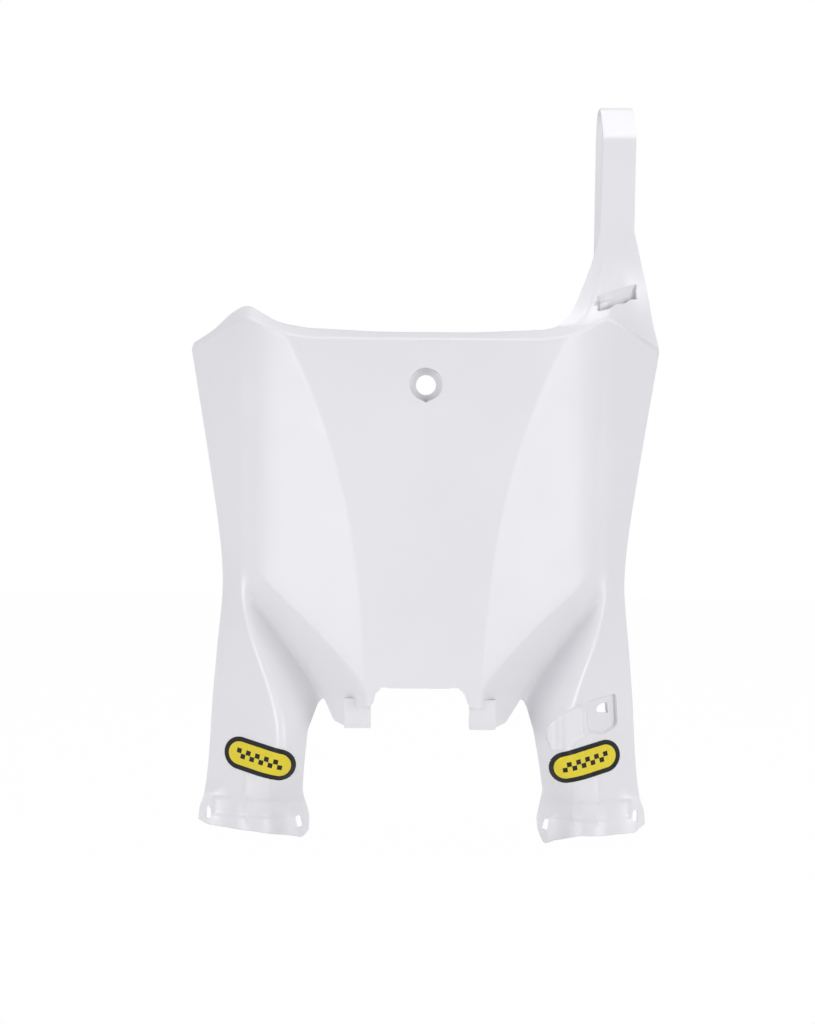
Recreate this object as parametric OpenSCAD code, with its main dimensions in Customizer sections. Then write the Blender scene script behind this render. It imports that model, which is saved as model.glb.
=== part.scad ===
// Front number board of an off-road motorbike: one moulded sheet and two stickers.
// Millimetres. +Z is up, the front faces -Y, and the origin is the middle of the
// fixing hole on the front of the number panel.

/* [Sheet] */
// Wall of the moulding
wall = 2.2; // [1.8:0.1:2.8]
// Depth of the sheet's outer edge behind the panel, level with the fixing hole
wing_depth = 62; // [54:1:68]
// Slope of the wings, from the plane of the panel
wing_angle = 50; // [44:1:54]

/* [Number panel] */
// Height of the front edge above the fixing hole
top_rise = 27.5; // [22:0.5:32]
// Reach of the panel below the fixing hole
panel_drop = 180; // [170:1:186]
// Width between the creases, level with the fixing hole
crease_w = 142; // [130:1:150]
// Width between the creases at the toes
crease_low_w = 70; // [64:1:76]
// Slope of the side facets, from the plane of the panel
facet_angle = 25; // [20:1:28]
// Radius of the panel's crown from side to side
crown_r = 1400; // [900:50:2500]
// Radius of the panel's bow from top to bottom
bow_r = 4000; // [2500:100:8000]

/* [Outline] */
// Width at the top corners
corner_w = 292; // [284:1:300]
// Width at the waist
waist_w = 249; // [243:1:255]
// Level of the waist below the fixing hole
waist_drop = 117; // [105:1:130]
// Height of the shoulder peaks above the fixing hole
peak_rise = 41; // [36:0.5:46]
// Distance of each peak from the middle
peak_x = 109; // [104:1:114]

/* [Return flange] */
// How far the top flange goes back
flange_depth = 14; // [8:1:18]
// How far the flange climbs over the middle of the panel
flange_climb = 4.9; // [3:0.1:6]
// How far the flange climbs over the panel's ends
end_climb = 7; // [6:0.1:7.8]
// How far the flange climbs over the peaks
peak_climb = 8.8; // [8:0.1:10]

/* [Fixing hole] */
// Bore for the fixing bolt's sleeve
bore_d = 12; // [10:0.5:13]
// Recess round the bore
recess_d = 20; // [18:0.5:24]
// Depth of the recess
recess_depth = 8; // [5:0.5:12]

/* [Legs] */
// Reach of the leg ends below the fixing hole
leg_drop = 276; // [268:1:284]
// Outer width over both legs, above the collars
legs_w = 268; // [262:1:274]
// Distance of the left leg's inner edge from the middle
left_gap = 74.5; // [72:0.5:77]
// Distance of the right leg's inner edge from the middle
right_gap = 72.3; // [70:0.5:75]
// Slope of the legs' outer flanks
leg_angle = 39.5; // [35:0.5:43]
// Slope of the legs' inner flanks
inner_angle = 46; // [40:1:50]
// How far the collar ears stand out on each side
ear_out = 2; // [1:0.25:4]
// Height of the collars
collar_h = 20; // [16:1:24]

/* [Tie slots] */
// Width of the slots
slot_w = 3; // [2.6:0.1:3.6]
// Length of the slots
slot_len = 7.5; // [6:0.5:9]

/* [Toes] */
// Distance of the left toe from the middle
left_toe = 31.8; // [30:0.2:34]
// Distance of the right toe from the middle
right_toe = 28; // [26:0.2:30]
// Width of the tab under each toe
toe_w = 16; // [13:0.5:18]
// Reach of the tabs below the fixing hole
toe_drop = 208; // [204:1:212]

/* [Strap] */
// Width of the strap
strap_w = 19.7; // [16:0.1:24]
// Wall of the strap
strap_wall = 2.4; // [2:0.1:3]
// Height of the strap's bend above the fixing hole
strap_rise = 181; // [170:1:195]
// Depth of the loop that goes over the handlebar
loop_depth = 50; // [44:1:58]
// Middle of the strap, from the middle of the board
strap_x = 121.4; // [118:0.2:124]
// Depth of the ledge between the front edge and the strap
ledge = 7; // [4:0.5:10]

/* [Keeper] */
// How far the louvre is pressed back out of the strap's root
keeper_depth = 5; // [4.5:0.1:6.5]
// Width of the slits at the ends of the louvre
keeper_slit = 2.4; // [2:0.1:3]

/* [Hose guide] */
// Depth of the guide's face behind the panel
guide_y = 18.8; // [18:0.1:19.4]
// Radius of the groove down the guide's face
guide_groove_r = 5.5; // [4.5:0.1:6.5]
// Depth of the groove
guide_groove = 3.5; // [2.5:0.1:4]
// Depth of the pocket beside the guide
pocket_depth = 3.6; // [2.5:0.1:4.5]

/* [Collars] */
// Depth of the groove for the tie
tie_groove = 0.9; // [0.5:0.1:1.2]
// Height of the upright ribs
rib_rise = 0.8; // [0.5:0.1:1.2]

/* [Stickers] */
// Thickness of the stickers
sticker_t = 0.3; // [0.2:0.05:0.5]
// Width of a sticker
sticker_w = 46; // [36:1:50]
// Height of a sticker
sticker_h = 20; // [14:1:22]

/* [Hidden] */

// Straight steps of 0 to 1 for smooth changes between two levels
function clamp01(t) = min(1, max(0, t));
function ease(t) = let(c = clamp01(t)) c * c * (3 - 2 * c);
function mix(a, b, t) = a + (b - a) * t;
// Ramp that turns upward softly at zero, over the width w
function ramp(t, w) = (t + sqrt(t * t + w * w)) / 2;
// The larger and the smaller of two values, rounded where they cross
function round_max(a, b, k) = let(h = max(k - abs(a - b), 0) / k) max(a, b) + h * h * k / 4;
function round_min(a, b, k) = -round_max(-a, -b, k);

// Levels where the forms begin and end
crease_end = 189;
toe_level = 192;
ridge_top = 125;
ridge_low = 215;
ridge_out = 225;
collar_top = leg_drop - collar_h;

// Front top edge: level over the panel, then up to the peak and down to the corner
peak_in_slope = 0.47;
peak_out_slope = 0.45;
function top_edge(a) =
    let(inner = peak_rise - peak_in_slope * (peak_x - a),
        outer = peak_rise + 1 - peak_out_slope * (a - peak_x))
    round_min(round_max(top_rise, inner, 6), outer, 5);
function flange_rise(a) =
    mix(flange_climb, end_climb, ease((a - 20) / 60)) + (peak_climb - end_climb) * ease((a - 90) / 16);

// Half width of the outline at a height
waist_in = 3;
leg_flare = (legs_w - waist_w) / 2 / (collar_top - waist_drop) + 0.03;
leg_belly = 1.5;
function ear(z) =
    ear_out * ease((-z - collar_top + 4) / 10) * (1 - ease((-z - leg_drop + 9) / 12));
function edge_x(z) =
    let(up = ramp(z + waist_drop, 30), down = ramp(-z - waist_drop, 30))
    waist_w / 2 - waist_in + (corner_w / 2 - waist_w / 2 + waist_in) / 138 * up + leg_flare * down
    + leg_belly * ease((-z - waist_drop) / 45) * (1 - ease((-z - 185) / 50)) + ear(z);

// Half widths of the lines that divide the sheet's forms
function crease_x(z) =
    let(t = max(0, (z + crease_end) / crease_end))
    crease_low_w / 2 + (crease_w - crease_low_w) / 2 * (0.22 * t + 0.78 * pow(t, 2.6));
function diagonal_x(z) =
    crease_low_w / 2 - 1 + 62 * pow(max(0, z + crease_end) / 67, 1.26);
function ridge_x(z) =
    mix(86, 110.5, ease((z + ridge_low) / (ridge_low - ridge_top)))
    + 16 * ease((-z - ridge_out) / 40);

// Depths of the forms behind the origin
function panel_y(a, z) = a * a / 2 / crown_r + z * z / 2 / bow_r;
function facet_y(a, z) =
    panel_y(min(a, crease_x(z)), z) + tan(facet_angle) * max(0, a - crease_x(z));
function rim_y(z) =
    z > -waist_drop ? wing_depth + 0.061 * z
    : wing_depth - 0.061 * waist_drop - 1 * (-z - waist_drop) / 90;
function flank_slope(z) =
    mix(tan(wing_angle), tan(leg_angle), ease((-z - 110) / 90));
function wing_y(a, z) = rim_y(z) + flank_slope(z) * (a - edge_x(z) + ear(z));
function step_slope(z) = mix(1.19, 0.7, clamp01((diagonal_x(z) - 34) / 62));
function stepped_y(a, z) =
    facet_y(a, z) + 0.72 * step_slope(z) * max(0, a - diagonal_x(z));
function inner_y(a, z) =
    wing_y(ridge_x(z), z) + tan(inner_angle) * (ridge_x(z) - a);
function ridge_round(z) =
    mix(12, 7, ease((-z - ridge_top + 25) / 50)) + 19 * ease((-z - ridge_low) / 30);
ear_y = 46;
function front_y(x, z) =
    let(a = abs(x),
        face = round_min(stepped_y(a, z), inner_y(a, z), 10),
        y = round_max(face, wing_y(a, z), ridge_round(z)))
    mix(y, round_min(y, ear_y, 8), ease((-z - collar_top + 12) / 10));

// Columns of the sheet: panel, facet, inner flank and outer flank on each side
panel_cols = 3;
facet_cols = 5;
inner_cols = 8;
outer_cols = 5;
half_cols = panel_cols + facet_cols + inner_cols + outer_cols;
function column_x(i, z) =
    let(c = crease_x(z), r = ridge_x(z),
        d = min(mix(c, r, 0.8), max(c + 12, diagonal_x(z))),
        n1 = panel_cols, n2 = n1 + facet_cols, n3 = n2 + inner_cols)
    i <= n1 ? c * i / n1
    : i <= n2 ? mix(c, d, (i - n1) / facet_cols)
    : i <= n3 ? mix(d, r, (i - n2) / inner_cols)
    : mix(r, edge_x(z), (i - n3) / outer_cols);
columns = [for (i = [-half_cols:half_cols]) i];

// Rows of the sheet: they follow the top edge at first and are level below
bent_rows = 7;
level_rows = 28;
bent_to = -18;
body_rows = bent_rows + level_rows;
function level_z(j) = mix(bent_to, -leg_drop - 10, (j - bent_rows) / level_rows);
function body_point(i, j) =
    let(s = sign(i), n = abs(i),
        a0 = column_x(n, top_rise),
        z = j >= bent_rows ? level_z(j) : mix(top_edge(a0), bent_to, j / bent_rows),
        a = column_x(n, z))
    [s * a, front_y(a, z), z];

// The flange behind the top edge, which turns up into the strap's root beside it
blend_cols = 5;
function flange_point(i) =
    let(p = body_point(i, 0), t = ease((i - strap_from + blend_cols) / blend_cols),
        q = [0, flange_depth, flange_rise(abs(p.x))])
    p + mix(q, strap_point(strap_from, 1) - body_point(strap_from, 0), t);

// The strap: rows from the peak to the neck, over the handlebar and down behind
neck_rise = 98;
neck_y = 42;
ledge_climb = 2;
strap_cols = outer_cols + inner_cols + 4;
strap_from = half_cols - strap_cols;
strap_left = body_point(strap_from, 0).x;
strap_right = body_point(half_cols, 0).x;
run_y = neck_y + 4;
strap_path = concat(
    [for (t = [0:0.5:1]) [mix(neck_y, run_y, t), mix(neck_rise, strap_rise - 24, t)]],
    [for (p = [[0.04, 20], [0.09, 16.5], [0.25, 10], [0.33, 6.8], [0.48, 1.2], [0.6, 0], [0.78, 2.2],
               [0.9, 7], [0.98, 16]])
        [run_y + loop_depth * p[0], strap_rise - p[1]]],
    [for (t = [0:0.5:1]) [run_y + loop_depth + 3 * t, mix(strap_rise - 30, neck_rise - 10, t)]]);
base_rows = 7;
strap_rows = base_rows + len(strap_path) - 1;
function strap_point(i, k) =
    let(edge = body_point(i, 0),
        root = edge + [0, ledge * mix(1, 0.4, ease((edge.x - peak_x) / 36)), ledge_climb],
        f = (root.x - strap_left) / (strap_right - strap_left),
        neck = [strap_x + strap_w * (f - 0.5), neck_y, neck_rise],
        t = (k - 1) / (base_rows - 1),
        p = strap_path[max(0, k - base_rows)])
    k < 1 ? edge
    : k <= base_rows
        ? [mix(root.x, neck.x, t), mix(root.y, neck.y, ease(t * 1.5)), mix(root.z, neck.z, t)]
    : [strap_x + strap_w * (f - 0.5), p[0], p[1]];

// The whole grid, from the strap's end down to the collars
top_rows = strap_rows;
all_rows = top_rows + body_rows;
function grid_point(i, row) =
    let(j = row - top_rows)
    j >= 0 ? body_point(i, j)
    : i >= strap_from ? strap_point(i, -j)
    : flange_point(i);
grid = [for (row = [0:all_rows]) [for (i = columns) grid_point(i, row)]];

// Cells that exist: the strap, the flange, the body, and only the legs low down
leg_only_z = -toe_drop - 6;
leg_from = panel_cols + facet_cols + 3;
function cell(c, row) =
    let(i = c - half_cols, j = row - top_rows)
    c < 0 || c >= 2 * half_cols || row < 0 || row >= all_rows ? false
    : j < -1 ? i >= strap_from
    : j < 0 ? true
    : j >= bent_rows && level_z(j + 1) < leg_only_z
        ? (i >= leg_from || i + 1 <= -leg_from)
    : true;

// Ways from the face to the back of the wall, for a wall of one millimetre: straight back
// over the body, and square to the face over the flange and the strap
probe = 0.05;
function body_way(p) =
    let(dx = (front_y(p.x + probe, p.z) - front_y(p.x - probe, p.z)) / 2 / probe,
        dz = (front_y(p.x, p.z + probe) - front_y(p.x, p.z - probe)) / 2 / probe)
    [0, sqrt(1 + dx * dx + dz * dz), 0];
function square_way(c, any_row) =
    let(w = 2 * half_cols,
        row = c - half_cols < strap_from ? top_rows - 1 : any_row,
        across = grid[row][min(w, c + 1)] - grid[row][max(0, c - 1)],
        down = grid[row + 1][c] - grid[max(0, row - 1)][c],
        n = cross(across, down))
    n / norm(n);
function strap_share(row) = mix(1, strap_wall / wall, clamp01((top_rows - 1 - row) / 3));
function wall_way(c, row) =
    row < top_rows ? strap_share(row) * square_way(c, row)
    : row == top_rows ? body_way(grid[row][c]) + [0, 0, -1]
    : body_way(grid[row][c]);
wall_ways = [for (row = [0:all_rows]) [for (c = [0:len(columns) - 1]) wall_way(c, row)]];

// A sheet of the grid's cells, from the depth near to the depth far behind its face
module sheet(near, far, rows = [0, all_rows], cols = [0, 2 * half_cols]) {
    w = len(columns);
    points = [for (d = [near, far]) for (row = [0:all_rows]) for (c = [0:w - 1])
        grid[row][c] + d * wall_ways[row][c]];
    half = len(points) / 2;
    function inside(c, row) =
        c >= cols[0] && c < cols[1] && row >= rows[0] && row < rows[1] && cell(c, row);
    function id(c, row) = row * w + c;
    faces = [for (row = [rows[0]:rows[1] - 1]) for (c = [cols[0]:cols[1] - 1])
        if (inside(c, row))
            let(a = id(c, row), b = id(c + 1, row), d = id(c + 1, row + 1), e = id(c, row + 1))
            for (f = concat(
                [[a, b, d], [a, d, e], [half + a, half + d, half + b], [half + a, half + e, half + d]],
                inside(c, row - 1) ? [] : [[a, half + b, b], [a, half + a, half + b]],
                inside(c, row + 1) ? [] : [[e, d, half + d], [e, half + d, half + e]],
                inside(c - 1, row) ? [] : [[a, e, half + e], [a, half + e, half + a]],
                inside(c + 1, row) ? [] : [[b, half + b, half + d], [b, half + d, d]])) f];
    polyhedron(points, faces, convexity = 8);
}

// Rows and columns of the grid that hold a place on the right leg or its mirror
function row_at(z) =
    top_rows + bent_rows + floor((bent_to - z) / (bent_to + leg_drop + 10) * level_rows);
leg_cols = [panel_cols + facet_cols, half_cols];
module leg_sheet(side, near, far, top_z, low_z) {
    cols = side > 0 ? [half_cols + leg_cols[0], half_cols + leg_cols[1]]
        : [half_cols - leg_cols[1], half_cols - leg_cols[0]];
    sheet(near, far, [row_at(top_z), row_at(low_z) + 1], cols);
}

// Outline points [x, z, corner radius] with their corners rounded
arc_steps = 6;
function rounded(pts) = [for (i = [0:len(pts) - 1])
    let(n = len(pts), p = pts[i], q = pts[(i + n - 1) % n], r = pts[(i + 1) % n],
        u = [q[0] - p[0], q[1] - p[1]], v = [r[0] - p[0], r[1] - p[1]],
        uu = u / norm(u), vv = v / norm(v),
        turn = acos(max(-1, min(1, uu * vv))),
        reach = p[2] / tan(turn / 2),
        c = [p[0], p[1]] + (uu + vv) / norm(uu + vv) * p[2] / sin(turn / 2))
    for (q2 = p[2] < 0.01 ? [[p[0], p[1]]]
        : [for (t = [0:arc_steps])
            let(a = [p[0], p[1]] + uu * reach - c, b = [p[0], p[1]] + vv * reach - c,
                m = mix(a, b, t / arc_steps))
            c + m / norm(m) * p[2]]) q2];

// A prism along Y over an outline in X and Z, and one over the outline grown or shrunk
ahead = -20;
behind = 90;
module through(outline, y0 = ahead, y1 = behind) {
    translate([0, y1, 0]) rotate([90, 0, 0]) linear_extrude(y1 - y0) polygon(outline);
}
module through_inset(outline, inset, y0, y1) {
    translate([0, y1, 0]) rotate([90, 0, 0]) linear_extrude(y1 - y0) offset(delta = inset) polygon(outline);
}

// The open space between the legs and below the collars, one side, from the middle out
function leg_side(toe_x, gap_x, lift) = [
    [toe_x - 4, -panel_drop - 3, 6],
    [toe_x - 0.5, -toe_level - 2.5, 2],
    [toe_x + 9, -toe_level - 3.5, 8],
    [toe_x + 15, -toe_level - 7, 4],
    [toe_x + 22, -toe_level - 12, 1],
    [gap_x - 12, -toe_level + 4.5, 2],
    [gap_x - 4, -toe_level - 19, 14],
    [gap_x - 0.3, -collar_top + 6, 20],
    [gap_x - 3.5, -collar_top - 8.5, 6],
    [gap_x - 2.5, -leg_drop - 1, 5],
    [gap_x + 2.5, -leg_drop - 5.5, 1.5],
    [gap_x + 10, -leg_drop - 3, 12],
    [gap_x + 24, -leg_drop + 1.5 + lift, 20],
    [legs_w / 2 - 2, -leg_drop + 0.5 + lift, 4],
    [legs_w / 2 + 6, -leg_drop + 8, 0],
    [legs_w / 2 + 30, -leg_drop + 8, 0]];
left_side = leg_side(left_toe, left_gap, 2.5);
open_space = rounded(concat(
    leg_side(right_toe, right_gap, 0),
    [[legs_w / 2 + 30, -leg_drop - 40, 0], [-legs_w / 2 - 30, -leg_drop - 40, 0]],
    [for (i = [len(left_side) - 1:-1:0]) [-left_side[i][0], left_side[i][1], left_side[i][2]]]));

// Recessed fixing hole: a cup behind the panel, with a key notch at the bottom
key_w = 3;
key_depth = 1.2;
lip = 0.3;
module hole_cup() {
    rotate([-90, 0, 0]) translate([0, 0, lip])
        cylinder(d = recess_d + 2 * wall, h = recess_depth + wall - lip, $fn = 48);
}
module hole_cuts() {
    rotate([-90, 0, 0]) translate([0, 0, -2]) cylinder(d = recess_d, h = recess_depth + 2, $fn = 48);
    rotate([-90, 0, 0]) cylinder(d = bore_d, h = recess_depth + wall + 2, $fn = 48);
    translate([-key_w / 2, -2, -recess_d / 2 - key_depth]) cube([key_w, recess_depth + 2, recess_d / 2]);
}

// Tabs under the toes, each with a short rib behind at both sides
tab_ridge = 2;
tab_reach = 9;
module toe_tab(side) {
    toe_x = side > 0 ? right_toe : left_toe;
    tab_y = front_y(toe_x + toe_w / 2, -toe_level) + 0.4 * wall;
    mirror([side > 0 ? 0 : 1, 0, 0]) translate([toe_x, tab_y, -toe_drop]) {
        cube([toe_w, wall, toe_drop - toe_level + 8]);
        for (x = [0, toe_w - tab_ridge])
            translate([x, 0, 0]) cube([tab_ridge, tab_reach, toe_drop - toe_level + 2]);
    }
}

// Slots for the ties in the collar ears, a groove between them, and two upright ribs
slot_level = leg_drop - 10;
module tie_slot(x, z, tilt) {
    translate([x, behind, z]) rotate([90, tilt, 0]) linear_extrude(behind - ahead) {
        square([slot_w, slot_len - slot_w], center = true);
        for (end = [-1, 1])
            translate([0, end * (slot_len - slot_w) / 2]) circle(d = slot_w, $fn = 32);
    }
}
module tie_slots() {
    for (side = [-1, 1]) {
        tie_slot(side * (legs_w / 2 - 1.5), -slot_level + 1.5, 0);
        tie_slot(side * ((side > 0 ? right_gap : left_gap) + 1.8), -slot_level - 3, side * 14);
    }
}
groove_top = collar_top - 2;
groove_low = collar_top + 8.5;
module tie_grooves() {
    for (side = [-1, 1]) intersection() {
        leg_sheet(side, -1, tie_groove, -groove_top, -groove_low);
        mirror([side > 0 ? 0 : 1, 0, 0]) through([
            [legs_w / 2 - 54, -groove_top], [legs_w / 2 - 8, -groove_top],
            [legs_w / 2 - 8, -groove_low], [legs_w / 2 - 54, -groove_low]]);
    }
}
rib_w = 2.2;
ribs = [legs_w / 2 - 41, legs_w / 2 - 26];
module collar_ribs() {
    for (side = [-1, 1]) for (x = ribs) intersection() {
        leg_sheet(side, -rib_rise, wall / 2, -collar_top + 18, -collar_top - 12);
        mirror([side > 0 ? 0 : 1, 0, 0]) through([
            [x - rib_w / 2, -collar_top + 17], [x + rib_w / 2, -collar_top + 17],
            [x + rib_w / 2, -collar_top - 11], [x - rib_w / 2, -collar_top - 11]]);
    }
}

// Hose guide on the right leg: a hollow pad with a groove down its face, and a pocket with a
// window beside it
guide_outline = rounded([[75, -206.6, 3], [81.6, -200.5, 3], [92, -195, 3], [97.8, -193, 1.5],
    [98.4, -209, 3], [99.6, -213.4, 2], [89, -220, 6], [79.5, -224.2, 4], [75, -214.6, 5]]);
pocket_outline = rounded([[100.2, -192, 1.5], [120, -188, 2], [121, -208, 5], [112, -213, 6],
    [101.5, -211, 3]]);
window_outline = [[109.6, -194.3], [114.6, -193.6], [114.8, -200], [107.2, -199.6], [107.4, -196.4]];
guide_top = -184;
guide_low = -228;
guide_x = 81.5;
pad_reach = 28;
module guide_groove_rod(r) {
    translate([guide_x, guide_y + guide_groove - guide_groove_r, guide_low])
        cylinder(r = r, h = guide_top - guide_low + 2, $fn = 40);
}
module guide_space() {
    through_inset(guide_outline, -wall, guide_y + wall, behind);
    intersection() {
        through(guide_outline, guide_y - 1, behind);
        guide_groove_rod(guide_groove_r);
    }
}
module guide_pad() {
    difference() {
        union() {
            difference() {
                intersection() {
                    through(guide_outline, guide_y, behind);
                    leg_sheet(1, -pad_reach, wall, guide_top, guide_low);
                }
                through_inset(guide_outline, -wall, guide_y + wall, behind);
            }
            intersection() {
                through(guide_outline, guide_y, behind);
                guide_groove_rod(guide_groove_r + wall);
            }
        }
        guide_groove_rod(guide_groove_r);
    }
}
module pocket_wall() {
    intersection() {
        through_inset(pocket_outline, wall, ahead, behind);
        leg_sheet(1, wall / 2, pocket_depth + wall, guide_top + 6, guide_low + 6);
    }
}
module pocket_space() {
    intersection() {
        through(pocket_outline);
        leg_sheet(1, -1, pocket_depth, guide_top + 6, guide_low + 6);
    }
}

// Keeper for the strap's end: a window in the strap's root, with a louvre behind it that hangs
// from the window's top edge and stands free of the slits at both ends
keeper_lip = [[104.6, 46.8, 0.6], [112, 48.8, 1], [114.5, 50.6, 0.8], [117, 52.3, 0.8],
    [124, 53.5, 1], [127.2, 56, 0.8], [130.9, 56.4, 0.6]];
keeper_top = [[130.2, 66.2, 0.7], [105, 57.4, 0.7]];
keeper_outline = rounded(concat(keeper_lip, keeper_top));
module keeper_window() {
    through(keeper_outline, 0, behind);
}
// Columns and rows of the grid where the louvre's root and its free edge lie
louvre_root = [[7.1, 3], [16.7, 3.3], [18.6, 4]];
louvre_edge = [[8, 1.5], [16.8, 2], [18.4, 2.8]];
web_lap = 0.85 * wall;
module louvre() {
    function profile(n) =
        let(t = strap_point(louvre_root[n][0], louvre_root[n][1]),
            e = strap_point(louvre_edge[n][0], louvre_edge[n][1]))
        [t + [0, web_lap, web_lap], t + [0, keeper_depth + wall, web_lap], e + [0, keeper_depth + wall, 0],
         e + [0, keeper_depth, 0], t + [0, keeper_depth, 0], t + [0, web_lap, 0]];
    points = [for (n = [0:2]) for (q = profile(n)) q];
    sides = [for (n = [0, 1]) for (j = [0:5])
        let(a = n * 6 + j, b = n * 6 + (j + 1) % 6)
        for (f = [[a, b + 6, a + 6], [a, b, b + 6]]) f];
    ends = [[0, 4, 1], [0, 5, 4], [1, 3, 2], [1, 4, 3], [12, 13, 16], [12, 16, 17], [13, 14, 15], [13, 15, 16]];
    polyhedron(points, concat(sides, ends));
}

module number_board() {
    color("white")
    union() {
        difference() {
            union() {
                sheet(0, wall);
                pocket_wall();
                collar_ribs();
                hole_cup();
            }
            through(open_space);
            guide_space();
            pocket_space();
            tie_grooves();
            through(window_outline);
            keeper_window();
            hole_cuts();
            tie_slots();
        }
        guide_pad();
        louvre();
        toe_tab(1);
        toe_tab(-1);
    }
}

// A vinyl sticker on each leg
sticker_z = -229;
sticker_x = legs_w / 2 - 34;
sticker_tilt = 12;
module sticker_shape(side) {
    translate([side * sticker_x, behind, sticker_z]) rotate([90, side * -sticker_tilt, 0])
    linear_extrude(behind - ahead) {
        square([sticker_w - sticker_h, sticker_h], center = true);
        for (end = [-1, 1])
            translate([end * (sticker_w - sticker_h) / 2, 0]) circle(d = sticker_h, $fn = 48);
    }
}
module sticker(side) {
    intersection() {
        leg_sheet(side, -sticker_t, 0, sticker_z + sticker_h, sticker_z - sticker_h);
        sticker_shape(side);
    }
}

module left_decal() {
    color("gold") sticker(-1);
}

module right_decal() {
    color("gold") sticker(1);
}

number_board();
left_decal();
right_decal();
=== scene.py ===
import math
import bmesh
import bpy
import numpy as np
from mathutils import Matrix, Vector


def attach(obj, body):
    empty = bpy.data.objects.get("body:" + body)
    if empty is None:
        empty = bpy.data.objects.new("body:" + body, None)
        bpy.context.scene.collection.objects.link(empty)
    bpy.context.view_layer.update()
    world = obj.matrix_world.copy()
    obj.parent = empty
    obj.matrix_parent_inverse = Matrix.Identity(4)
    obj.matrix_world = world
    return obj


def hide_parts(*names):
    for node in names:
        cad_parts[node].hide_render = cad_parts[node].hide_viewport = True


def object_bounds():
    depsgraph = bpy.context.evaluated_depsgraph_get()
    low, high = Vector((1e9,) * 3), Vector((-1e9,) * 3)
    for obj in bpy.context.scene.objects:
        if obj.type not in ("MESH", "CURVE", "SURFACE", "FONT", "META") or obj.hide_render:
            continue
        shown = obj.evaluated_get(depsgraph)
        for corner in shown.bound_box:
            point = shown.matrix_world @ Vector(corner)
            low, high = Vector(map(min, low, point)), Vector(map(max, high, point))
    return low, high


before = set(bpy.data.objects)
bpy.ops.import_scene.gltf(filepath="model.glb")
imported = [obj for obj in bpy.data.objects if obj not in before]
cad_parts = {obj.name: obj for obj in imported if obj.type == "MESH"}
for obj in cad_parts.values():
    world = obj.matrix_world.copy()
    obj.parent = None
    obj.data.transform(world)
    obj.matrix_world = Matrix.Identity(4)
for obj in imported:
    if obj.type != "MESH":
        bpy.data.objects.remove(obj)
cad_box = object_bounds()


# The board: one thin sheet of white polypropylene, injection moulded. A flat number panel
# stands between two creases, side facets and wings fold back from it, and each side ends in
# a leg that wraps a fork tube. Its face is a surface: a depth in mm behind the panel at x, z
WALL = 2.2
RECESS_R, RECESS_DEPTH, BORE_R, KEY_W, KEY_DEPTH = 10, 8, 6, 3, 1.2
TOP_RISE, PEAK_RISE, PEAK_X = 27.5, 41, 109
LEG_DROP, LEGS_W, COLLAR_H = 276, 268, 20
WAIST_W, WAIST_DROP, CORNER_W = 249, 117, 292
CREASE_W, CREASE_LOW_W, CREASE_END, TOE_LEVEL = 142, 70, 189, 192
PANEL_CROWN, PANEL_BOW, RIM_Y, RIM_SLOPE = 2800, 8000, 62, 0.061
FACET_SLOPE, INNER_SLOPE = math.tan(math.radians(25)), math.tan(math.radians(46))
WING_SLOPE, LEG_SLOPE = math.tan(math.radians(50)), math.tan(math.radians(39.5))
COLLAR_TOP = LEG_DROP - COLLAR_H
LEG_FLARE = (LEGS_W - WAIST_W) / 2 / (COLLAR_TOP - WAIST_DROP) + 0.03


def clamp01(t):
    return np.clip(t, 0, 1)


def ease(t):
    c = clamp01(t)
    return c * c * (3 - 2 * c)


def mix(a, b, t):
    return a + (b - a) * t


def ramp(t, w):
    return (t + np.sqrt(t * t + w * w)) / 2


def round_max(a, b, k):
    h = np.maximum(k - np.abs(a - b), 0) / k
    return np.maximum(a, b) + h * h * k / 4


def round_min(a, b, k):
    return -round_max(-a, -b, k)


def top_edge(a):
    inner = PEAK_RISE - 0.47 * (PEAK_X - a)
    outer = PEAK_RISE + 1 - 0.45 * (a - PEAK_X)
    return round_min(round_max(TOP_RISE, inner, 6), outer, 5)


def ear(z):
    return 2 * ease((-z - COLLAR_TOP + 4) / 10) * (1 - ease((-z - LEG_DROP + 9) / 12))


def edge_x(z):
    flare = (CORNER_W / 2 - WAIST_W / 2 + 3) / 138 * ramp(z + WAIST_DROP, 30)
    belly = 1.5 * ease((-z - WAIST_DROP) / 45) * (1 - ease((-z - 185) / 50))
    return WAIST_W / 2 - 3 + flare + LEG_FLARE * ramp(-z - WAIST_DROP, 30) + belly + ear(z)


def crease_x(z):
    t = np.maximum(0, (z + CREASE_END) / CREASE_END)
    return CREASE_LOW_W / 2 + (CREASE_W - CREASE_LOW_W) / 2 * (0.22 * t + 0.78 * t ** 2.6)


def diagonal_x(z):
    return CREASE_LOW_W / 2 - 1 + 62 * (np.maximum(0, z + CREASE_END) / 67) ** 1.26


def ridge_x(z):
    return mix(86, 110.5, ease((z + 215) / 90)) + 16 * ease((-z - 225) / 40)


def rim_y(z):
    low = RIM_Y - RIM_SLOPE * WAIST_DROP + (z + WAIST_DROP) / 90
    return np.where(z > -WAIST_DROP, RIM_Y + RIM_SLOPE * z, low)


def wing_y(a, z):
    slope = mix(WING_SLOPE, LEG_SLOPE, ease((-z - 110) / 90))
    return rim_y(z) + slope * (a - edge_x(z) + ear(z))


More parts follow.
